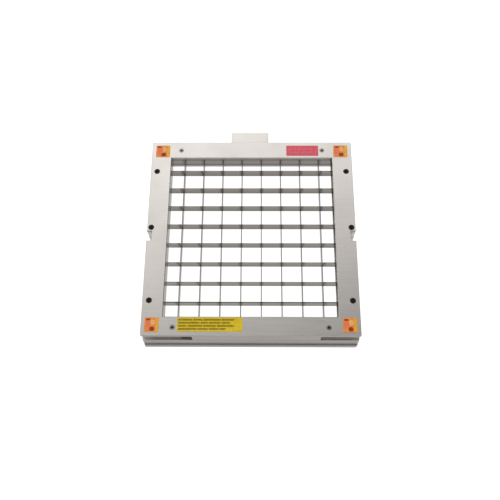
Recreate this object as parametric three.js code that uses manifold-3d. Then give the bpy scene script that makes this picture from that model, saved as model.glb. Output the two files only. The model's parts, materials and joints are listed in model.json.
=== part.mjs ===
// A dicing grid cassette for a vegetable dicer, in millimetres, +Z up.
// Two gangs of tensioned blades cross inside a square housing of stacked plates. The cross gang, on top,
// has its blades along X and slides along X. The long gang, below it, has its blades along Y, slides
// along Y and is driven by the tongue that leaves the housing at the rear. Food is pushed down through
// the square cells between the blades.
import * as THREE from "three";
import { mergeVertices } from "three/addons/utils/BufferGeometryUtils.js";
import Module from "manifold-3d";

const wasm = await Module();
wasm.setup();

// ---- Driving dimensions ----
const cell = 20; // pitch of the blades in both directions
const bladesPerGang = 8;
const housingHalf = 102.5; // half the length of the top plate
const coverHalfX = 102; // half its width
const stackHalfX = 101.8; // the layers under it are a little narrower
const frontLip = 1.7; // the bottom plate reaches this far in front of the others
const lipCorner = [1.8, 1.2]; // cut off its front right corner, along X and Y
const bottomBevel = 0.4;
const wallGroove = { height: 1.3, depth: 2.2 }; // shadow groove above the lip
const openingHalfX = 82; // the opening in the top plate
const openingHalfY = 84.25;
const outletHalfX = 85; // the opening in the bottom plate
const outletHalfY = 94.4;
const halfStroke = 3; // each gang moves this far to either side of its middle
const bladeRowOffset = 1.5; // the cross blades sit this far to the rear of the middle

const bottomTop = 5.5; // heights at which the layers of the housing meet
const separatorBottom = 16.5;
const separatorTop = 20;
const coverBottom = 31;
const coverTop = 35;

const running = 0.2; // gap between a gang and the plate above or below it
const seam = 0.2; // gap between two fixed pieces that lie side by side
const joint = 0.1; // gap between two fixed pieces that are clamped face to face
const slideGap = 0.3; // gap between a gang and the rail that guides it
const holeGap = 0.15; // all round a screw, rod or blade in its hole or slot
const windowGap = 0.5; // all round the tongue in the rear wall
const outside = 110; // a coordinate past every outer face, for cuts that run out of a piece

const bladeThickness = 1;
const bladeBevel = 1.6; // height of the ground edge
const bladeTipHalf = 0.06; // half the width that is left at the cutting edge
const slotHalf = bladeThickness / 2 + holeGap; // a slot in an end bar, either side of its blade
const endBarWidth = 4.6;
const slotFloor = 1.3; // material left under each slot in an end bar
const bladeEndGap = 0.1; // a blade stops this far inside the outer face of its end bar
const rodRadius = 0.8;
const rodInset = 1.7; // from the outer face of an end bar to the middle of the rod
const rodOverhang = 4; // the rod reaches this far past the outer blades

const notchInner = 97.2; // floor of the locating notches in the left and right sides
const notchFrontY = -7.4;
const notchRearY = 2.6;
const sideRailInner = 92.9;
const longSideInner = 85.4; // inner faces of the long gang's side rails
const frontRecess = 4.5; // the upper layer stands back this far from the front edge
const guideInner = 89.8; // upper guide bars, measured from the middle
const guideEndX = 66; // inner ends of the two short front guides
const lowerWallInner = 95.15;

const bolts = [-1, 1].flatMap((side) => [
  [side * 95.6, 68.5],
  [side * 97.9, 6.5],
  [side * 95.6, -68.5],
]);
const coverScrews = [-1, 1].flatMap((side) => [
  [side * 72, 92.9],
  [side * 72.4, -94.6],
]);

const tongue = { x: -2.1, halfWidth: 19.6, bottom: 8.2, top: 15.2, end: 126.1 };
const block = { x: 2.35, halfWidth: 60, screwSpan: 40 }; // x is measured in the cross gang
const originY = (tongue.end - housingHalf - frontLip) / 2; // the middle of the object's length

// ---- Materials ----
const steel = (color, roughness, metalness = 1) =>
  new THREE.MeshStandardMaterial({ color, roughness, metalness });
const plateSteel = steel(0xc9c6c1, 0.42);
const bladeSteel = steel(0x8c8781, 0.3);
const frameSteel = steel(0x9c9892, 0.45);
const screwSteel = steel(0xa8a6a2, 0.35);
const blackSteel = steel(0x17171a, 0.5, 0.6);
const orangeFilm = steel(0xe2702a, 0.4, 0);
const redFilm = steel(0xd4505e, 0.4, 0);
const yellowFilm = steel(0xd8bc20, 0.4, 0);

// ---- Solids ----
function solid(geometry) {
  geometry.deleteAttribute("normal");
  geometry.deleteAttribute("uv");
  const merged = mergeVertices(geometry, 1e-4);
  return new wasm.Manifold(
    new wasm.Mesh({
      numProp: 3,
      vertProperties: merged.attributes.position.array,
      triVerts: new Uint32Array(merged.index.array),
    }),
  );
}

function box([x0, x1], [y0, y1], [z0, z1]) {
  const geometry = new THREE.BoxGeometry(x1 - x0, y1 - y0, z1 - z0);
  geometry.translate((x0 + x1) / 2, (y0 + y1) / 2, (z0 + z1) / 2);
  return solid(geometry);
}

// A cylinder or cone from one end to the other along an axis, "x", "y" or "z", through the point at.
function rod(axis, [from, to], at, radius, endRadius = radius, sides = 20) {
  const geometry = new THREE.CylinderGeometry(endRadius, radius, to - from, sides);
  geometry.translate(0, (from + to) / 2, 0);
  if (axis === "x") geometry.rotateZ(-Math.PI / 2);
  if (axis === "z") geometry.rotateX(Math.PI / 2);
  geometry.translate(...at);
  return solid(geometry);
}

const sorted = ([a, b]) => [Math.min(a, b), Math.max(a, b)];

function cutAll(body, cutters) {
  return cutters.reduce((left, cutter) => left.subtract(cutter), body);
}

const housing = new THREE.Group();
const crossGang = new THREE.Group();
const longGang = new THREE.Group();

function add(group, name, body, material) {
  const { vertProperties, triVerts } = body.getMesh();
  const geometry = new THREE.BufferGeometry();
  geometry.setAttribute("position", new THREE.BufferAttribute(vertProperties, 3));
  geometry.setIndex(new THREE.BufferAttribute(triVerts, 1));
  const mesh = new THREE.Mesh(geometry, material);
  mesh.name = name;
  group.add(mesh);
}

// ---- Housing ----
// The outline of the plates, with a locating notch in each side and clipped corners. key is the size in
// X and Y of the clip at the front right corner.
function plateOutline(halfX, front, clip, key) {
  const half = ([cutX, cutY]) => [
    [halfX - cutX, -front],
    [halfX, cutY - front],
    [halfX, notchFrontY],
    [notchInner, notchFrontY],
    [notchInner, notchRearY],
    [halfX, notchRearY],
    [halfX, housingHalf - clip],
    [halfX - clip, housingHalf],
  ];
  const left = half([clip, clip]).map(([x, y]) => [-x, y]).reverse();
  return new THREE.Shape([...half(key), ...left].map(([x, y]) => new THREE.Vector2(x, y)));
}

const cornerClip = 0.8;
const plainCorner = [cornerClip, cornerClip];

function plate([bottom, top], halfX, [holeX, holeY], bevel, front = housingHalf, key = plainCorner) {
  const shape = plateOutline(halfX, front, cornerClip, key);
  const corners = [[-holeX, -holeY], [-holeX, holeY], [holeX, holeY], [holeX, -holeY]];
  shape.holes.push(new THREE.Path(corners.map(([x, y]) => new THREE.Vector2(x, y))));
  const geometry = new THREE.ExtrudeGeometry(shape, {
    depth: top - bottom - 2 * bevel,
    bevelEnabled: bevel > 0,
    bevelThickness: bevel,
    bevelSize: bevel,
    bevelOffset: -bevel,
    bevelSegments: 1,
  });
  geometry.translate(0, 0, bottom + bevel);
  return solid(geometry);
}

// The screws that clamp the stack: low heads sunk in the top plate, tips in the bottom plate.
const boltRadius = 1.5;
const boltHole = boltRadius + holeGap;
const boltHead = { radius: 2.75, height: 2, start: coverTop - 0.6 };
const boltHeadEnd = boltHead.start - boltHead.height;
const boltTip = 1.4;
const boltHoles = () => bolts.map(([x, y]) => rod("z", [-1, coverTop + 1], [x, y, 0], boltHole));
const boltHeadHoles = () =>
  bolts.map(([x, y]) => rod("z", [boltHeadEnd - joint, coverTop + 1], [x, y, 0], boltHead.radius + holeGap));
const notches = () =>
  [-1, 1].map((side) => {
    const depth = sorted([side * notchInner, side * (housingHalf + 1)]);
    return box(depth, [notchFrontY, notchRearY], [0, coverTop]);
  });

// The countersunk screws that hold the top plate to the upper guides.
const coverScrew = { radius: 1.25, head: 2.4, headDepth: 1.4, length: 10, sunk: 0.15 };
const screwBody = (x, y, grow) => {
  const top = coverTop - coverScrew.sunk + grow;
  const shank = rod("z", [coverTop - coverScrew.length - grow, top], [x, y, 0], coverScrew.radius + grow);
  const cone = [coverScrew.radius + grow, coverScrew.head + grow];
  const headFrom = top - coverScrew.headDepth - grow;
  return shank.add(rod("z", [headFrom, top], [x, y, 0], ...cone));
};
const screwHoles = () => coverScrews.map(([x, y]) => screwBody(x, y, holeGap));

function topPlate() {
  const body = plate([coverBottom, coverTop], coverHalfX, [openingHalfX, openingHalfY], 0.4);
  return cutAll(body, [...boltHoles(), ...boltHeadHoles(), ...screwHoles()]);
}

function separatorFrame() {
  const span = [separatorBottom + joint, separatorTop - joint];
  return cutAll(plate(span, stackHalfX, [openingHalfX, openingHalfY], 0), boltHoles());
}

function bottomPlate() {
  const span = [0, bottomTop - joint];
  const outlet = [outletHalfX, outletHalfY];
  const front = housingHalf + frontLip;
  const body = plate(span, coverHalfX, outlet, bottomBevel, front, lipCorner);
  return cutAll(body, boltHoles());
}

const tensionScrewY = 86.9; // of the cross gang, from its middle
const tensionScrewX = 89; // of the long gang
const accessRadius = 1.8; // holes through which a hex key reaches the tension screws

// The two side rails of a layer. In the upper layer the right one has the key holes.
function sideRail(side, [y0, y1], span) {
  const body = box(sorted([side * sideRailInner, side * stackHalfX]), [y0, y1], span);
  return cutAll(body, [...boltHoles(), ...notches()]);
}

const upperSpan = [separatorTop, coverBottom - joint];
const lowerSpan = [bottomTop, separatorBottom];
const crossMiddleZ = (separatorTop + coverBottom) / 2;

function upperRightRail() {
  const keyHole = (y) => rod("x", [sideRailInner - 1, outside], [0, y, crossMiddleZ], accessRadius);
  const rail = sideRail(1, [frontRecess - housingHalf, housingHalf], upperSpan);
  return cutAll(rail, [-1, 1].map((end) => keyHole(end * tensionScrewY)));
}

function upperGuide([x0, x1], [y0, y1]) {
  return cutAll(box([x0, x1], [y0, y1], upperSpan), screwHoles());
}

// The front wall of the lower layer, with a groove above the bottom plate.
function lowerFrontWall() {
  const wall = box([-stackHalfX, stackHalfX], [-housingHalf, -lowerWallInner - seam], lowerSpan);
  const grooveY = [-outside, wallGroove.depth - housingHalf];
  return wall.subtract(box([-outside, outside], grooveY, [0, bottomTop + wallGroove.height]));
}

function lowerRearWall() {
  const wall = box([-stackHalfX, stackHalfX], [lowerWallInner + seam, housingHalf], lowerSpan);
  const reach = tongue.halfWidth + windowGap;
  const window = [tongue.bottom - windowGap, tongue.top + windowGap];
  return wall.subtract(box([tongue.x - reach, tongue.x + reach], [lowerWallInner, outside], window));
}

// A socket head cap screw along an axis. Its head and its tip may lie either way along it.
function capScrew(axis, [headStart, headEnd], tip, at, headRadius, radius) {
  const way = Math.sign(headEnd - headStart);
  const socket = [headStart - way, headStart + (headEnd - headStart) * 0.6];
  const socketRadius = headRadius * 0.45;
  return rod(axis, sorted([headStart, headEnd]), at, headRadius)
    .add(rod(axis, sorted([headEnd - way * 0.01, tip]), at, radius))
    .subtract(rod(axis, sorted(socket), at, socketRadius, socketRadius, 6));
}

function coverScrewSolid([x, y]) {
  const top = coverTop - coverScrew.sunk;
  return screwBody(x, y, 0).subtract(rod("z", [top - 1, top + 1], [x, y, 0], 1.1, 1.1, 6));
}

// ---- Printed films on the top plate ----
const film = { gap: 0.02, thickness: 0.22 };

function label([x0, x1], [y0, y1], cornerRadius = 1) {
  const shape = new THREE.Shape();
  const r = cornerRadius;
  shape.moveTo(x0 + r, y0);
  shape.absarc(x1 - r, y0 + r, r, -Math.PI / 2, 0);
  shape.absarc(x1 - r, y1 - r, r, 0, Math.PI / 2);
  shape.absarc(x0 + r, y1 - r, r, Math.PI / 2, Math.PI);
  shape.absarc(x0 + r, y0 + r, r, Math.PI, Math.PI * 1.5);
  const settings = { depth: film.thickness, bevelEnabled: false, curveSegments: 4 };
  const geometry = new THREE.ExtrudeGeometry(shape, settings);
  geometry.translate(0, 0, coverTop + film.gap);
  return solid(geometry);
}

// ---- Blades and gangs ----
// A gang is drawn with its blades along X, its middle at the origin and its underside at z 0, and is
// then turned and placed. Everything in it that faces the rail is symmetrical about the middle.
const gangHeight = coverBottom - separatorTop - 2 * running;
const rodZ = gangHeight * 0.52;
const bladePositions = Array.from(
  { length: bladesPerGang },
  (_, i) => (i - (bladesPerGang - 1) / 2) * cell,
);

function blade(endX, y) {
  const h = gangHeight;
  const t = bladeThickness / 2;
  const half = [[t, 0], [t, h - bladeBevel], [bladeTipHalf, h]];
  const outline = [...half, ...half.map(([x, z]) => [-x, z]).reverse()];
  const shape = new THREE.Shape(outline.map(([x, z]) => new THREE.Vector2(x, z)));
  const length = 2 * (endX - bladeEndGap);
  const strip = new THREE.ExtrudeGeometry(shape, { depth: length, bevelEnabled: false });
  strip.translate(0, 0, -length / 2);
  strip.rotateX(Math.PI / 2);
  strip.rotateZ(Math.PI / 2);
  strip.translate(0, y, 0);
  const holeRadius = rodRadius + holeGap;
  const ends = [-1, 1].flatMap((side) => {
    const relief = sorted([side * (endX - endBarWidth - seam), side * (endX + 1)]);
    const hole = [side * (endX - rodInset), 0, rodZ];
    return [
      box(relief, [y - 1, y + 1], [-1, slotFloor + 0.1]),
      rod("y", [y - 1, y + 1], hole, holeRadius, holeRadius, 14),
    ];
  });
  return cutAll(solid(strip), ends);
}

// Slots for the blades, and the groove for the rod, at one end of a gang.
function endBarCuts(side, endX, offset) {
  const outer = side * (endX + 1);
  const clear = rodRadius + holeGap;
  const through = sorted([side * (endX - endBarWidth - 1), outer]);
  const groove = sorted([side * (endX - rodInset - clear), outer]);
  const reach = bladePositions[bladesPerGang - 1] + rodOverhang + 0.4;
  const slots = bladePositions.map((y) =>
    box(through, [y + offset - slotHalf, y + offset + slotHalf], [slotFloor, gangHeight + 1]),
  );
  return [...slots, box(groove, [offset - reach, offset + reach], [rodZ - clear, rodZ + clear])];
}

const tensionRadius = 1.5;
const tensionGap = 0.7; // what the screws hold open between the tension bar and the long sides
const tensionHole = (endX, y) =>
  rod("x", [endX - endBarWidth - 1, endX + 1], [0, y, gangHeight / 2], tensionRadius + 0.1);

// The end bar and both long sides in one piece, open at +X, where the tension bar closes it.
function gangFrame(endX, [sideInner, sideOuter], offset) {
  const z = [0, gangHeight];
  const bar = box([-endX, endBarWidth - endX], [-sideOuter, sideOuter], z);
  const reach = [endBarWidth - endX - 0.01, endX - endBarWidth - tensionGap];
  const sides = [-1, 1].map((side) => box(reach, sorted([side * sideInner, side * sideOuter]), z));
  const frame = sides.reduce((joined, side) => joined.add(side), bar);
  return cutAll(frame, endBarCuts(-1, endX, offset));
}

function tensionBar(endX, sideOuter, screwY, offset) {
  const bar = box([endX - endBarWidth, endX], [-sideOuter, sideOuter], [0, gangHeight]);
  const screws = [-1, 1].map((side) => tensionHole(endX, side * screwY));
  return cutAll(bar, [...endBarCuts(1, endX, offset), ...screws]);
}

function tensionScrew(endX, y) {
  const at = [0, y, gangHeight / 2];
  return rod("x", [endX - endBarWidth - tensionGap + 0.05, endX - 0.3], at, tensionRadius)
    .subtract(rod("x", [endX - 2, endX + 1], at, 0.85, 0.85, 6));
}

function bladeRod(side, endX, offset) {
  const reach = bladePositions[bladesPerGang - 1] + rodOverhang;
  const at = [side * (endX - rodInset), 0, rodZ];
  return rod("y", [offset - reach, offset + reach], at, rodRadius, rodRadius, 12);
}

// Adds the pieces that both gangs have. ends and sides name the two ends of X and of Y in the gang's
// own frame, and frameCuts are the holes that only this gang's frame has.
function addGang(group, name, gang, frameCuts = []) {
  const { endX, side, screwY, offset, ends, sides } = gang;
  add(group, `${name}_gang_frame`, cutAll(gangFrame(endX, side, offset), frameCuts), frameSteel);
  add(group, `${name}_tension_bar`, tensionBar(endX, side[1], screwY, offset), frameSteel);
  bladePositions.forEach((y, i) =>
    add(group, `${name}_blade_${i + 1}`, blade(endX, y + offset), bladeSteel),
  );
  [-1, 1].forEach((way, i) => {
    add(group, `${name}_blade_rod_${ends[i]}`, bladeRod(way, endX, offset), screwSteel);
    add(group, `${name}_tension_screw_${sides[i]}`, tensionScrew(endX, way * screwY), blackSteel);
  });
}

// ---- Cross gang, with the block that drives it at the front ----
const crossSideOuter = guideInner - slideGap;
// The block's screws are put in from inside the frame, so that its own face is plain.
const blockScrew = { head: 2.75, headHeight: 3, radius: 1.5, length: 11 };
const blockFront = -housingHalf;
const blockMiddleZ = gangHeight / 2;
const blockHeadStart = -openingHalfY - 0.3;
const blockHeadEnd = blockHeadStart - blockScrew.headHeight;
const blockScrewTip = blockHeadEnd - blockScrew.length;
const blockScrewX = [-1, 1].map((side) => block.x + side * block.screwSpan);
const blockHoles = blockScrewX.flatMap((x) => {
  const at = [x, 0, blockMiddleZ];
  return [
    rod("y", [blockHeadEnd - joint, 1 - openingHalfY], at, blockScrew.head + 0.2),
    rod("y", [blockScrewTip - 0.3, -openingHalfY], at, blockScrew.radius + holeGap),
  ];
});

addGang(
  crossGang,
  "cross",
  {
    endX: openingHalfX + halfStroke + endBarWidth,
    side: [openingHalfY, crossSideOuter],
    screwY: tensionScrewY,
    offset: bladeRowOffset,
    ends: ["left", "right"],
    sides: ["front", "rear"],
  },
  blockHoles,
);

const driveBlock = box(
  [block.x - block.halfWidth, block.x + block.halfWidth],
  [blockFront, -crossSideOuter - joint],
  [joint, gangHeight - joint],
);
add(crossGang, "cross_drive_block", cutAll(driveBlock, blockHoles), plateSteel);
blockScrewX.forEach((x, i) => {
  const head = [blockHeadStart, blockHeadEnd];
  const at = [x, 0, blockMiddleZ];
  const body = capScrew("y", head, blockScrewTip, at, blockScrew.head, blockScrew.radius);
  add(crossGang, `drive_block_screw_${["left", "right"][i]}`, body, screwSteel);
});
crossGang.position.set(halfStroke, 0, separatorTop + running);

// ---- Long gang: the same pieces turned so that its blades run along Y, and the rear tongue ----
// In the gang's own frame +X is the front of the housing and +Y is its right.
const longEndX = openingHalfY + halfStroke + endBarWidth;
addGang(longGang, "long", {
  endX: longEndX,
  side: [longSideInner, sideRailInner - slideGap],
  screwY: tensionScrewX,
  offset: 0,
  ends: ["rear", "front"],
  sides: ["right", "left"],
});
const longGangZ = bottomTop + running;
const tongueBody = box(
  [halfStroke - tongue.end, -longEndX - joint],
  [tongue.x - tongue.halfWidth, tongue.x + tongue.halfWidth],
  [tongue.bottom - longGangZ, tongue.top - longGangZ],
);
add(longGang, "long_drive_tongue", tongueBody, plateSteel);
longGang.rotation.z = -Math.PI / 2;
longGang.position.set(0, halfStroke, longGangZ);

// ---- The housing's pieces ----
add(housing, "top_plate", topPlate(), plateSteel);
add(housing, "separator_frame", separatorFrame(), plateSteel);
add(housing, "bottom_plate", bottomPlate(), plateSteel);
const frontOfUpper = frontRecess - housingHalf;
const upperLeftRail = sideRail(-1, [frontOfUpper, housingHalf], upperSpan);
add(housing, "upper_side_rail_left", upperLeftRail, frameSteel);
add(housing, "upper_side_rail_right", upperRightRail(), frameSteel);
const guideOuterX = sideRailInner - seam;
const rearGuide = upperGuide([-guideOuterX, guideOuterX], [guideInner, housingHalf]);
add(housing, "upper_rear_guide", rearGuide, frameSteel);
const frontGuideY = [frontOfUpper, -guideInner];
add(housing, "upper_front_guide_left", upperGuide([-guideOuterX, -guideEndX], frontGuideY), frameSteel);
add(housing, "upper_front_guide_right", upperGuide([guideEndX, guideOuterX], frontGuideY), frameSteel);
[-1, 1].forEach((side, i) => {
  const rail = sideRail(side, [-lowerWallInner, lowerWallInner], lowerSpan);
  add(housing, `lower_side_rail_${["left", "right"][i]}`, rail, frameSteel);
});
add(housing, "lower_front_wall", lowerFrontWall(), plateSteel);
add(housing, "lower_rear_wall", lowerRearWall(), plateSteel);
bolts.forEach(([x, y], i) => {
  const head = [boltHead.start, boltHeadEnd];
  const body = capScrew("z", head, boltTip, [x, y, 0], boltHead.radius, boltRadius);
  add(housing, `stack_bolt_${i + 1}`, body, blackSteel);
});
coverScrews.forEach((place, i) => add(housing, `cover_screw_${i + 1}`, coverScrewSolid(place), screwSteel));

const cornerLabels = {
  front: { side: -1, inner: 85.3, outer: 98.3, innerY: 85.3, outerY: 99 },
  rear: { side: 1, inner: 83.7, outer: 97.9, innerY: 85.1, outerY: 98.6 },
};
["left", "right"].forEach((sideName, i) =>
  Object.entries(cornerLabels).forEach(([endName, { side, inner, outer, innerY, outerY }]) => {
    const xs = sorted([inner, outer].map((x) => (2 * i - 1) * x));
    const ys = sorted([innerY, outerY].map((y) => side * y));
    add(housing, `orange_label_${endName}_${sideName}`, label(xs, ys), orangeFilm);
  }),
);
add(housing, "red_label", label([35.5, 68.2], [86.6, 98.5]), redFilm);
add(housing, "yellow_label", label([-68, -7.6], [-98.5, -85]), yellowFilm);

const cassette = new THREE.Group();
cassette.add(housing, crossGang, longGang);
cassette.position.y = -originY;

export default cassette;
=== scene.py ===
"""Looks for the dicing grid cassette: steel, smooth screws, printed labels, floor, light and camera."""

import json
import math

import bmesh
import bpy
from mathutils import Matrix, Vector


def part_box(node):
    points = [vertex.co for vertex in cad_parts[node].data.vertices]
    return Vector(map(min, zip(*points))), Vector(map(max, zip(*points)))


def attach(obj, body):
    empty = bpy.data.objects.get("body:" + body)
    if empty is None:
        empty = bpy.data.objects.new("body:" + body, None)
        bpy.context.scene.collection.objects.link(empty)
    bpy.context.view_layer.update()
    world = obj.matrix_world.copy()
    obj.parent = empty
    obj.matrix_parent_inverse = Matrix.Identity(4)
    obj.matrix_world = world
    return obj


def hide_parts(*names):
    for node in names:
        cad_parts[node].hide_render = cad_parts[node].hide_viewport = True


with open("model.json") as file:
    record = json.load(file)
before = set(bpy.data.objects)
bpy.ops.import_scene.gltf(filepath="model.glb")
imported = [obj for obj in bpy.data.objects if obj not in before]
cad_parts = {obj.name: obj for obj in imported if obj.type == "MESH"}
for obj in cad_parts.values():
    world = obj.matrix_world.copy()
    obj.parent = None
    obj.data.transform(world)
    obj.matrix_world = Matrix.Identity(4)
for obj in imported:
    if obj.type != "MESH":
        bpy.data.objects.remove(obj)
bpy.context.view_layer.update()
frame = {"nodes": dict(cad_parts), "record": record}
nodes = frame["nodes"]
scene = bpy.context.scene
scene.view_settings.view_transform = "Standard"
MM = 0.001
PITCH = 20 * MM  # from blade to blade


# ---- Node trees ----
MIX_A, MIX_B, MIX_RESULT = 6, 7, 2  # the colour sockets of a mix node


def plug(tree, value, socket):
    """Links another node's output to a socket, or sets the socket's own value."""
    if isinstance(value, bpy.types.NodeSocket):
        tree.links.new(value, socket)
    else:
        socket.default_value = value


def math_node(tree, operation, *values):
    made = tree.nodes.new("ShaderNodeMath")
    made.operation = operation
    for socket, value in zip(made.inputs, values):
        plug(tree, value, socket)
    return made.outputs[0]


class Graph:
    """A material's node tree, with short calls for the few kinds of node used here."""

    def __init__(self, name):
        self.material = bpy.data.materials.new(name)
        self.material.use_nodes = True
        self.tree = self.material.node_tree
        self.shader = self.tree.nodes["Principled BSDF"]

    def node(self, kind, inputs=None, **settings):
        made = self.tree.nodes.new(kind)
        for key, value in settings.items():
            setattr(made, key, value)
        for key, value in (inputs or {}).items():
            plug(self.tree, value, made.inputs[key])
        return made

    def coords(self, scale=(1, 1, 1)):
        place = self.node("ShaderNodeTexCoord")
        return self.node(
            "ShaderNodeMapping",
            {"Vector": place.outputs["Object"], "Scale": scale},
        ).outputs["Vector"]

    def axis(self, letter):
        """Where on one of the object's own axes, in metres."""
        return self.node("ShaderNodeSeparateXYZ", {"Vector": self.coords()}).outputs[letter]

    def noise(self, scale, detail=4.0, rough=0.55, distortion=0.0):
        """Noise of about 0.3 to 0.7. scale is in cycles per metre along each axis."""
        return self.node(
            "ShaderNodeTexNoise",
            {
                "Vector": self.coords(scale),
                "Scale": 1.0,
                "Detail": detail,
                "Roughness": rough,
                "Distortion": distortion,
            },
        ).outputs["Fac"]

    def span(self, value, low, high, to_low, to_high):
        """Takes low..high to to_low..to_high, and holds the ends."""
        return self.node(
            "ShaderNodeMapRange",
            {"Value": value, "From Min": low, "From Max": high, "To Min": to_low, "To Max": to_high},
        ).outputs["Result"]

    def math(self, operation, *values):
        return math_node(self.tree, operation, *values)

    def mix(self, factor, a, b):
        made = self.node("ShaderNodeMix", {"Factor": factor}, data_type="RGBA")
        plug(self.tree, a, made.inputs[MIX_A])
        plug(self.tree, b, made.inputs[MIX_B])
        return made.outputs[MIX_RESULT]

    def height(self, value, strength, distance):
        return self.node(
            "ShaderNodeBump", {"Height": value, "Strength": strength, "Distance": distance}
        ).outputs["Normal"]

    def crossings(self, half_width, wobble):
        """1 where a blade of the long gang passes, falling to 0 half_width to either side."""
        moved = self.math("ADD", self.axis("X"), self.span(wobble, 0.3, 0.7, -0.6 * MM, 0.6 * MM))
        along = self.math("PINGPONG", moved, PITCH / 2)
        away = self.math("SUBTRACT", PITCH / 2, along)
        return self.span(away, 0.4 * MM, half_width, 1.0, 0.0)

    def finish(self, **sockets):
        for key, value in sockets.items():
            plug(self.tree, value, self.shader.inputs[key.replace("_", " ")])
        return self.material


def shade(color, factor=1.0):
    return (*(min(1.0, c * factor) for c in color), 1.0)


# ---- Materials ----
PLATE = (0.62, 0.60, 0.58)
FRAME = (0.52, 0.49, 0.46)
WALL = (0.32, 0.3, 0.28)
CROSS_BLADE = (0.335, 0.32, 0.305)
LONG_BLADE = (0.17, 0.16, 0.15)
SCREW_HEAD = (0.3, 0.28, 0.26)
WORN_FILM = (0.8, 0.78, 0.72)
WORN_BLACK = (0.1, 0.09, 0.085)

# Grains, in cycles per metre along each axis.
ALONG_X = (28, 1500, 1500)
ALONG_Y = (1500, 28, 1500)
BLADE_ALONG_X = (40, 1200, 3200)
BLADE_ALONG_Y = (1200, 40, 3200)
TURNED = (900, 900, 900)

BRUSHED_DEPTH = 0.00003
POLISHED_DEPTH = 0.00002
GROUND_EDGE = 1.6 * MM  # height of a blade's ground edge


def steel(name, color, roughness, grain, spread=0.05, cloud=0.12, bump=0.1, edge=1.0, marks=0.0):
    """Metal with a directional grain in cycles per metre, faint clouds and rub marks.

    edge scales the colour of the faces that look along Y, next to the brushed faces: below 1 it is painted
    shade, above 1 a painted highlight.
    """
    g = Graph(name)
    fine = g.noise(grain, detail=6.0, rough=0.65)
    broad = g.noise((26, 26, 26), detail=4.0)
    base = g.mix(g.span(fine, 0.35, 0.65, 0, 1), shade(color, 1 - spread), shade(color, 1 + spread))
    base = g.mix(g.span(broad, 0.42, 0.68, 0, cloud), base, shade(color, 0.7))
    rough = g.span(fine, 0.3, 0.7, roughness - 0.05, roughness + 0.06)
    rough = g.math("ADD", rough, g.span(broad, 0.4, 0.7, 0, 0.05))
    if marks:
        rub = g.noise((70, 420, 420), detail=6.0, rough=0.7, distortion=1.2)
        rub = g.span(rub, 0.64, 0.74, 0, marks)
        base = g.mix(rub, base, shade(color, 1.2))
        rough = g.math("SUBTRACT", rough, g.math("MULTIPLY", rub, 0.15))
    # Painted shade or painted highlight on the faces that look along Y, scaled by edge.
    if edge != 1:
        facing = g.node("ShaderNodeNewGeometry").outputs["Normal"]
        along = g.node("ShaderNodeSeparateXYZ", {"Vector": facing}).outputs["Y"]
        facing_light_mask = g.span(g.math("ABSOLUTE", along), 0.75, 0.95, 0, 1)
        base = g.mix(facing_light_mask, base, shade(color, edge))
    return g.finish(
        Base_Color=base,
        Metallic=1.0,
        Roughness=rough,
        Normal=g.height(fine, bump, BRUSHED_DEPTH),
    )


def blade_steel(name, color, grain, top, crossing_shade=0.0):
    """Ground strip: a polished body painted darker towards the bottom as shade, with a rougher ground edge
    at its top painted brighter as a highlight.

    stain is how much painted shadow and reflection of the other gang's blades darken the body where they
    pass it.
    """
    g = Graph(name)
    edge_start = top - GROUND_EDGE
    fine = g.noise(grain, detail=5.0, rough=0.65)
    broad = g.noise((30, 30, 80), detail=3.0)
    rise = g.axis("Z")
    edge = g.span(rise, edge_start, top - 0.2 * GROUND_EDGE, 0, 1)
    body = g.mix(g.span(fine, 0.35, 0.65, 0, 1), shade(color, 0.92), shade(color, 1.1))
    body = g.mix(g.span(broad, 0.4, 0.7, 0, 0.3), body, shade(color, 0.7))
    # Painted shade: the body gets darker towards its bottom, deep in the grid.
    foot = g.span(rise, edge_start - 7 * MM, edge_start - 2 * MM, 0.35, 0)
    body = g.mix(foot, body, shade(color, 0.35))
    # Painted highlight: the ground edge is painted brighter than the body.
    base = g.mix(edge, body, shade(color, 1.3))
    # Painted shadow and reflection: the body darkens where the long gang's blades pass it.
    if crossing_shade:
        crossing_shadow_mask = g.math("MULTIPLY", g.crossings(2.8 * MM, broad), crossing_shade)
        base = g.mix(crossing_shadow_mask, base, shade(color, 0.2))
    rough = g.math("ADD", g.span(fine, 0.3, 0.7, 0.05, 0.1), g.math("MULTIPLY", edge, 0.12))
    return g.finish(
        Base_Color=base,
        Metallic=1.0,
        Roughness=rough,
        Normal=g.height(fine, 0.04, POLISHED_DEPTH),
    )


def wall_steel(name, color, low, high):
    """Polished inner wall, with painted shade along its two edges and painted shadow and reflection of the
    long blades where they pass it.
    """
    g = Graph(name)
    fine = g.noise(ALONG_X, detail=6.0, rough=0.65)
    broad = g.noise((30, 30, 60), detail=3.0)
    rise = g.axis("Z")
    # Painted shade in bands along the bottom and top edges of the wall.
    bottom = g.span(rise, low + 1.0 * MM, low + 2.6 * MM, 0.55, 0)
    top = g.span(rise, high - 2.0 * MM, high - 0.8 * MM, 0, 0.5)
    base = g.mix(g.span(fine, 0.35, 0.65, 0, 1), shade(color, 0.93), shade(color, 1.07))
    painted_shade = shade(color, 0.25)
    base = g.mix(g.math("MAXIMUM", bottom, top), base, painted_shade)
    # Painted shadow and reflection of the long blades where they pass the wall.
    base = g.mix(g.math("MULTIPLY", g.crossings(2.2 * MM, broad), 0.45), base, painted_shade)
    return g.finish(
        Base_Color=base,
        Metallic=1.0,
        Roughness=g.span(fine, 0.3, 0.7, 0.08, 0.15),
        Normal=g.height(fine, 0.04, POLISHED_DEPTH),
    )


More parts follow.
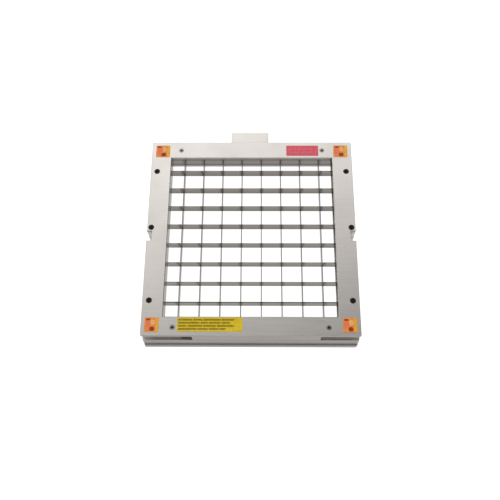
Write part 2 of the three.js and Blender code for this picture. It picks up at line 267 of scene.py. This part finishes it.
def film(name, color, mottle=0.12):
    """Printed glossy film with a faint mottled ink and worn spots."""
    g = Graph(name)
    ink = g.noise((420, 420, 420), detail=3.0)
    wear = g.noise((90, 90, 90), detail=6.0, rough=0.7)
    base = g.mix(g.span(ink, 0.35, 0.65, 0, 1), shade(color, 1 - mottle), shade(color, 1 + mottle))
    base = g.mix(g.span(wear, 0.62, 0.8, 0, 0.14), base, shade(WORN_FILM))
    return g.finish(
        Specular_IOR_Level=0.25,
        Base_Color=base,
        Roughness=g.span(wear, 0.3, 0.7, 0.28, 0.5),
        Normal=g.height(ink, 0.05, POLISHED_DEPTH),
    )


def black_oxide(name, color):
    """Gritty blackened steel with brown worn spots."""
    g = Graph(name)
    grit = g.noise((1500, 1500, 1500), detail=3.0)
    wear = g.noise((300, 300, 300), detail=5.0)
    base = g.mix(g.span(wear, 0.6, 0.8, 0, 0.5), shade(color), shade(WORN_BLACK))
    return g.finish(
        Base_Color=base,
        Metallic=0.6,
        Roughness=g.span(grit, 0.3, 0.7, 0.38, 0.6),
        Normal=g.height(grit, 0.1, BRUSHED_DEPTH),
    )


slot_color = {m["slot"]: tuple(m["base_color"][:3]) for m in frame["record"]["materials"]}
# The plate finish paints shade on faces that look along Y, such as the front faces and the inner edges of
# the opening.
plate_x = steel("plate_along_x", PLATE, 0.3, ALONG_X, edge=0.75, marks=0.3)
frame_x = steel("frame_along_x", FRAME, 0.16, ALONG_X, bump=0.05)
frame_y = steel("frame_along_y", FRAME, 0.16, ALONG_Y, bump=0.05)
# The rail finish paints a highlight on faces that look along Y, such as the walls of the bolt notches.
rail_y = steel("rail_along_y", FRAME, 0.16, ALONG_Y, bump=0.05, edge=1.4)
turned = steel("turned_steel", slot_color["screw_steel"], 0.3, TURNED, bump=0.08)
head_steel = steel("screw_head_steel", SCREW_HEAD, 0.25, TURNED, bump=0.08)
black = black_oxide("black_oxide", slot_color["black_steel"])
films = {
    "orange_film": film("orange_film", (0.86, 0.29, 0.06)),
    "red_film": film("red_film", (0.74, 0.115, 0.16)),
    "yellow_film": film("yellow_film", (0.76, 0.55, 0.022)),
}
salmon_ink = film("salmon_ink", (0.92, 0.20, 0.13))
maroon_ink = film("maroon_ink", (0.33, 0.045, 0.012))
peach_ink = film("peach_ink", (0.95, 0.45, 0.17))
gold_ink = film("gold_ink", (0.88, 0.47, 0.03))
pink_ink = film("pink_ink", (0.82, 0.17, 0.23))
olive_ink = film("olive_ink", (0.3, 0.235, 0.008))


def low_high(node_name):
    low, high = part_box(node_name)
    return low.z, high.z


wall_x = wall_steel("wall_along_x", WALL, *low_high("cross_gang_frame"))
cross_top = low_high("cross_blade_1")[1]
long_top = low_high("long_blade_1")[1]
# The cross blades take painted shadow and reflection of the long blades where those pass.
cross_steel = blade_steel("blade_along_x", CROSS_BLADE, BLADE_ALONG_X, cross_top, crossing_shade=0.75)
long_steel = blade_steel("blade_along_y", LONG_BLADE, BLADE_ALONG_Y, long_top)

# The finish of a node, by the start of its name. The first row that fits counts, and the rest is plate_x.
FINISHES = (
    (("cross_blade_rod", "long_blade_rod", "drive_block_screw", "cover_screw"), turned),
    (("cross_blade",), cross_steel),
    (("long_blade",), long_steel),
    (("cross_tension_screw", "long_tension_screw", "stack_bolt"), black),
    (("cross_gang_frame",), wall_x),
    (("upper_rear_guide", "upper_front_guide", "long_tension_bar"), frame_x),
    (("upper_side_rail", "lower_side_rail"), rail_y),
    (("long_gang_frame", "cross_tension_bar"), frame_y),
)


def finish_of(name):
    for starts, material in FINISHES:
        if name.startswith(starts):
            return material
    return plate_x


for node_name, node in nodes.items():
    if "label" not in node_name:
        node.data.materials.clear()
        node.data.materials.append(finish_of(node_name))

# ---- Small edge radii on the plates, walls, rails and guides ----
EDGE_RADII = {
    "top_plate": 0.15 * MM,
    "bottom_plate": 0.3 * MM,
    "cross_drive_block": 0.35 * MM,
    "long_drive_tongue": 0.8 * MM,
}
BAR_RADIUS = 0.2 * MM
WELD_WITHIN = 1e-6
BEVEL_ABOVE = 35
for node_name in nodes:
    if any(kind in node_name for kind in ("wall", "rail", "guide")):
        EDGE_RADII[node_name] = BAR_RADIUS
for node_name, radius in EDGE_RADII.items():
    weld = nodes[node_name].modifiers.new("weld", "WELD")
    weld.merge_threshold = WELD_WITHIN
    bevel = nodes[node_name].modifiers.new("edge", "BEVEL")
    bevel.width = radius
    bevel.segments = 2
    bevel.limit_method = "ANGLE"
    bevel.angle_limit = math.radians(BEVEL_ABOVE)
    bevel.use_clamp_overlap = True


# ---- Mesh helpers ----
def mesh_object(name, bm, material, smooth=None):
    """An object made from bm. smooth is the angle in degrees past which its edges stay sharp."""
    data = bpy.data.meshes.new(name)
    bmesh.ops.recalc_face_normals(bm, faces=bm.faces)
    bm.to_mesh(data)
    bm.free()
    obj = bpy.data.objects.new(name, data)
    scene.collection.objects.link(obj)
    data.materials.append(material)
    if smooth is not None:
        for face in data.polygons:
            face.use_smooth = True
        data.set_sharp_from_angle(angle=math.radians(smooth))
    return obj


def prism(bm, points, z0, z1):
    """A closed upright prism over a loop of (x, y) points."""
    low = [bm.verts.new((x, y, z0)) for x, y in points]
    high = [bm.verts.new((x, y, z1)) for x, y in points]
    bm.faces.new(low[::-1])
    bm.faces.new(high)
    for i in range(len(points)):
        j = (i + 1) % len(points)
        bm.faces.new((low[i], low[j], high[j], high[i]))


def rounded(x0, y0, x1, y1, radius, steps=5):
    """Corner points of a rectangle with round corners, counter-clockwise."""
    points = []
    for cx, cy, start in (
        (x1 - radius, y0 + radius, -90),
        (x1 - radius, y1 - radius, 0),
        (x0 + radius, y1 - radius, 90),
        (x0 + radius, y0 + radius, 180),
    ):
        for k in range(steps + 1):
            a = math.radians(start + 90 * k / steps)
            points.append((cx + radius * math.cos(a), cy + radius * math.sin(a)))
    return points


# ---- Printed labels: a film with plain shapes printed on it ----
INK = 0.05 * MM
LABEL_CORNER = 1.0 * MM
BAR_CORNER = 0.3 * MM
SHORTEST_BAR = 1 * MM


def flat_piece(name, outlines, z0, z1, slot, ink=None):
    bm = bmesh.new()
    for outline in outlines:
        prism(bm, outline, z0, z1)
    obj = mesh_object(name, bm, ink or films[slot])
    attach(obj, "housing")
    return obj


def label_base(node_name, slot):
    low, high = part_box(node_name)
    outline = rounded(low.x, low.y, high.x, high.y, LABEL_CORNER)
    base = flat_piece(node_name + "_film", [outline], low.z, high.z - INK, slot)
    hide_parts(node_name)
    return low, high


def corner_label(node_name):
    low, high = label_base(node_name, "orange_film")
    width, depth = high.x - low.x, high.y - low.y

    def part(left, front, right, rear, radius):
        """A rounded shape between fractions of the label's width and depth, its radius in millimetres."""
        x0, x1 = low.x + left * width, low.x + right * width
        y0, y1 = low.y + front * depth, low.y + rear * depth
        return rounded(x0, y0, x1, y1, radius * MM)

    dark = [part(0.38, 0.07, 0.72, 0.36, 1.4), part(0.1, 0.8, 0.4, 0.92, 0.5)]
    prints = (
        ("_border", [part(0.8, 0.03, 0.97, 0.97, 0.5)], "yellow_film", gold_ink),
        ("_patch", [part(0.1, 0.3, 0.4, 0.72, 1.4)], "red_film", salmon_ink),
        ("_square", [part(0.46, 0.48, 0.74, 0.84, 0.8)], "print_light", peach_ink),
        ("_blob", dark, "print_dark", maroon_ink),
    )
    for suffix, outlines, slot, ink in prints:
        flat_piece(node_name + suffix, outlines, high.z - INK, high.z, slot, ink)


for node_name in sorted(nodes):
    if node_name.startswith("orange_label"):
        corner_label(node_name)


def bars(node_name, slot, ink_slot, ink, rows, inset, thick, gap):
    """Rows of plain bars, of uneven lengths in millimetres, in place of small print."""
    low, high = label_base(node_name, slot)
    outlines = []
    pitch = (high.y - low.y - 2 * inset) / len(rows)
    for i, lengths in enumerate(rows):
        y = high.y - inset - (i + 0.5) * pitch
        x = low.x + inset
        for length in lengths:
            end = min(x + length * MM, high.x - inset)
            outlines.append(rounded(x, y - thick / 2, end, y + thick / 2, BAR_CORNER, steps=2))
            x = end + gap
            if x > high.x - inset - SHORTEST_BAR:
                break
    flat_piece(node_name + "_bars", outlines, high.z - INK, high.z, ink_slot, ink)


bars(
    "yellow_label",
    slot="yellow_film",
    ink_slot="print_dark",
    ink=olive_ink,
    rows=[(13, 9, 16, 12), (20, 7, 11, 8), (8, 14, 12, 15), (17, 10, 9, 6)],
    inset=0.9 * MM,
    thick=1.7 * MM,
    gap=0.7 * MM,
)
bars(
    "red_label",
    slot="red_film",
    ink_slot="red_film",
    ink=pink_ink,
    rows=[(8, 6, 9), (12, 10)],
    inset=2.2 * MM,
    thick=0.8 * MM,
    gap=1.2 * MM,
)


# ---- Screws: turned heads with chamfers, hexagon sockets and threads ----
SIDES = 24
SHARP_ABOVE = 40
THREAD_PITCH, THREAD_DEPTH = 0.5 * MM, 0.25 * MM
SOCKET_OUT, SOCKET_DOWN = 0.12 * MM, 0.15 * MM  # the chamfer of a socket's mouth
SOCKET_POINT = 0.3  # depth of the drill point under a socket, as a share of the socket's radius
BOLT_SOCKET = (1.25 * MM, 1.3 * MM)  # radius and depth
COVER_SOCKET = (1.15 * MM, 1.1 * MM)


def ring(bm, center, z, radius_at):
    """A level loop of vertices. radius_at gives the radius at an angle."""
    verts = []
    for k in range(SIDES):
        a = 2 * math.pi * k / SIDES
        r = radius_at(a)
        verts.append(bm.verts.new((center[0] + r * math.cos(a), center[1] + r * math.sin(a), z)))
    return verts


def hexagon(radius):
    sector = math.pi / 3
    return lambda a: radius * math.cos(sector / 2) / math.cos(a % sector - sector / 2)


def bridge(bm, below, above):
    """The band of faces between two loops."""
    return [
        bm.faces.new((below[k - 1], below[k], above[k], above[k - 1])) for k in range(len(below))
    ]


def screw(node_name, profile, socket, metal):
    """A screw on the node's upright middle line. profile runs from the tip to the rim of the head."""
    low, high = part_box(node_name)
    center = ((low.x + high.x) / 2, (low.y + high.y) / 2)
    bm = bmesh.new()
    last = None
    for radius, z in profile:
        loop = ring(bm, center, z, lambda a: radius)
        if last is None:
            bm.faces.new(loop[::-1])
        else:
            bridge(bm, last, loop)
        last = loop
    radius, depth = socket
    top = profile[-1][1]
    mouth = ring(bm, center, top, hexagon(radius + SOCKET_OUT))
    lip = ring(bm, center, top - SOCKET_DOWN, hexagon(radius))
    bottom = ring(bm, center, top - depth, hexagon(radius))
    bridge(bm, last, mouth)
    recess = bridge(bm, mouth, lip) + bridge(bm, lip, bottom)
    point = bm.verts.new((*center, top - depth - SOCKET_POINT * radius))
    for k in range(SIDES):
        recess.append(bm.faces.new((bottom[k - 1], bottom[k], point)))
    # The socket's inside gets the black oxide finish; on the steel cover screws this dark finish is painted
    # shade in the socket.
    for face in recess:
        face.material_index = 1
    obj = mesh_object(node_name + "_turned", bm, metal, smooth=SHARP_ABOVE)
    obj.data.materials.append(black)
    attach(obj, "housing")
    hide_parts(node_name)


def threaded(radius, start, end):
    """Profile points of a thread from start up to end, with a chamfered tip."""
    root = radius - THREAD_DEPTH
    points = [(radius - 2 * THREAD_DEPTH, start), (root, start + THREAD_DEPTH)]
    for k in range(int((end - start - THREAD_DEPTH) / THREAD_PITCH)):
        z = start + THREAD_DEPTH + k * THREAD_PITCH
        points += [(radius, z + 0.5 * THREAD_PITCH), (root, z + THREAD_PITCH)]
    return points


def stack_bolt_profile(low, high):
    """A cap screw with a low head: thread, plain shank, and a head with chamfered rims."""
    shank, head = 1.5 * MM, 2.75 * MM
    under, crown = 2.6 * MM, 2.4 * MM  # the head's radius inside its lower and upper chamfer
    seat = high - 2 * MM
    profile = threaded(shank, low, low + 12 * MM)
    profile += [(shank, profile[-1][1] + 0.4 * MM), (shank, seat), (under, seat)]
    profile += [(head, seat + 0.15 * MM), (head, high - 0.4 * MM), (crown, high)]
    return profile


def cover_screw_profile(low, high):
    """A countersunk screw, threaded almost up to its cone."""
    shank, head, rim = 1.25 * MM, 2.4 * MM, 2.3 * MM
    cone = high - 1.4 * MM
    profile = threaded(shank, low, cone - 0.5 * MM)
    profile += [(shank, cone), (rim, high - 0.2 * MM), (head, high - 0.1 * MM), (rim, high)]
    return profile


for node_name in sorted(nodes):
    if node_name.startswith("stack_bolt"):
        profile = stack_bolt_profile(*low_high(node_name))
        screw(node_name, profile, BOLT_SOCKET, black)
    elif node_name.startswith("cover_screw"):
        profile = cover_screw_profile(*low_high(node_name))
        screw(node_name, profile, COVER_SOCKET, head_steel)

# ---- Camera: the photograph's angle ----
ELEVATION, AZIMUTH, ROLL = (math.radians(v) for v in (66.44, 1.84, -1.63))
DISTANCE = 0.7004
AIM_X, AIM_Y = -0.0011, 0.0002  # where it aims, from the middle of the top plate
SENSOR, LENS, SHIFT = 36, 51.73, -0.0335
plate_low, plate_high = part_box("top_plate")
target = Vector((AIM_X, (plate_low.y + plate_high.y) / 2 + AIM_Y, plate_high.z))
back = Vector(
    (
        math.sin(AZIMUTH) * math.cos(ELEVATION),
        -math.cos(AZIMUTH) * math.cos(ELEVATION),
        math.sin(ELEVATION),
    )
)
right = Vector((math.cos(AZIMUTH), math.sin(AZIMUTH), 0))
up = back.cross(right)
cam_right = right * math.cos(ROLL) + up * math.sin(ROLL)
cam_up = up * math.cos(ROLL) - right * math.sin(ROLL)
camera = bpy.data.objects.new("camera", bpy.data.cameras.new("camera"))
scene.collection.objects.link(camera)
camera.data.sensor_width = SENSOR
camera.data.lens = LENS
camera.data.shift_y = SHIFT
camera.location = target + back * DISTANCE
turn = camera.matrix_world.to_3x3()
turn.col[0], turn.col[1], turn.col[2] = cam_right, cam_up, back
camera.rotation_mode = "QUATERNION"
camera.rotation_quaternion = turn.to_quaternion()
scene.camera = camera

# ---- Floor ----
FLOOR_HALF = 3.0
FLOOR_GAP = 0.0002  # between the floor and the part
FLOOR_DARK, FLOOR_LIGHT = (0.3, 0.3, 0.3), (0.34, 0.34, 0.34)
bm = bmesh.new()
bmesh.ops.create_grid(bm, x_segments=1, y_segments=1, size=FLOOR_HALF)
g = Graph("floor_white")
floor_tone = g.noise((3, 3, 3), detail=2.0)
floor_material = g.finish(
    Base_Color=g.mix(floor_tone, shade(FLOOR_DARK), shade(FLOOR_LIGHT)),
    Roughness=0.9,
    Emission_Color=(1, 1, 1, 1),
    Emission_Strength=1.0,
)
floor = mesh_object("floor", bm, floor_material)
floor.location.z = -FLOOR_GAP
floor.visible_glossy = False

# ---- Light: a studio dome over a dimmer table ----
# The dome is brightest at the rear and a little to the left, and has a second bright patch in front.
# The values are strengths, slopes are strength per unit of the direction's x, y or z, and starts are at -y.
REAR_SLOPE, LEFT_SLOPE, ZENITH = 4.8, 1.6, -0.82
CAP_SLOPE, CAP_LOW = 1.3, 0.62  # the most that the rear gives, by height
DARKEST = 0.12
FRONT_START, FRONT_SLOPE, FRONT_TOP = 0.22, 6.0, 1.6
HORIZON_START, HORIZON_SLOPE = 0.91, 4.0  # how the front patch falls off again
HORIZON_LOW, HORIZON_LEAST = 0.3, 0.4
TABLE = 0.7
world = bpy.data.worlds.new("studio")
scene.world = world
world.use_nodes = True
tree = world.node_tree
sky = tree.nodes["Background"]
sky.inputs["Color"].default_value = (1.0, 0.98, 0.955, 1)


def world_math(operation, a, b):
    return math_node(tree, operation, a, b)


def line(value, slope, offset):
    return world_math("ADD", world_math("MULTIPLY", value, slope), offset)


way = tree.nodes.new("ShaderNodeTexCoord")
split = tree.nodes.new("ShaderNodeSeparateXYZ")
tree.links.new(way.outputs["Generated"], split.inputs["Vector"])
x, y, z = (split.outputs[letter] for letter in "XYZ")
glow = world_math("ADD", line(y, REAR_SLOPE, world_math("MULTIPLY", x, -LEFT_SLOPE)), ZENITH)
glow = world_math("MINIMUM", glow, line(z, CAP_SLOPE, CAP_LOW))
glow = world_math("MAXIMUM", glow, DARKEST)
to_front = line(y, -FRONT_SLOPE, -FRONT_START * FRONT_SLOPE)
to_front = world_math("MINIMUM", to_front, FRONT_TOP)
to_horizon = line(y, HORIZON_SLOPE, HORIZON_LOW + HORIZON_START * HORIZON_SLOPE)
to_horizon = world_math("MAXIMUM", to_horizon, HORIZON_LEAST)
glow = world_math("MAXIMUM", glow, world_math("MINIMUM", to_front, to_horizon))
below = world_math("LESS_THAN", z, 0.0)
dim = world_math("MULTIPLY", below, world_math("SUBTRACT", TABLE, glow))
tree.links.new(world_math("ADD", glow, dim), sky.inputs["Strength"])
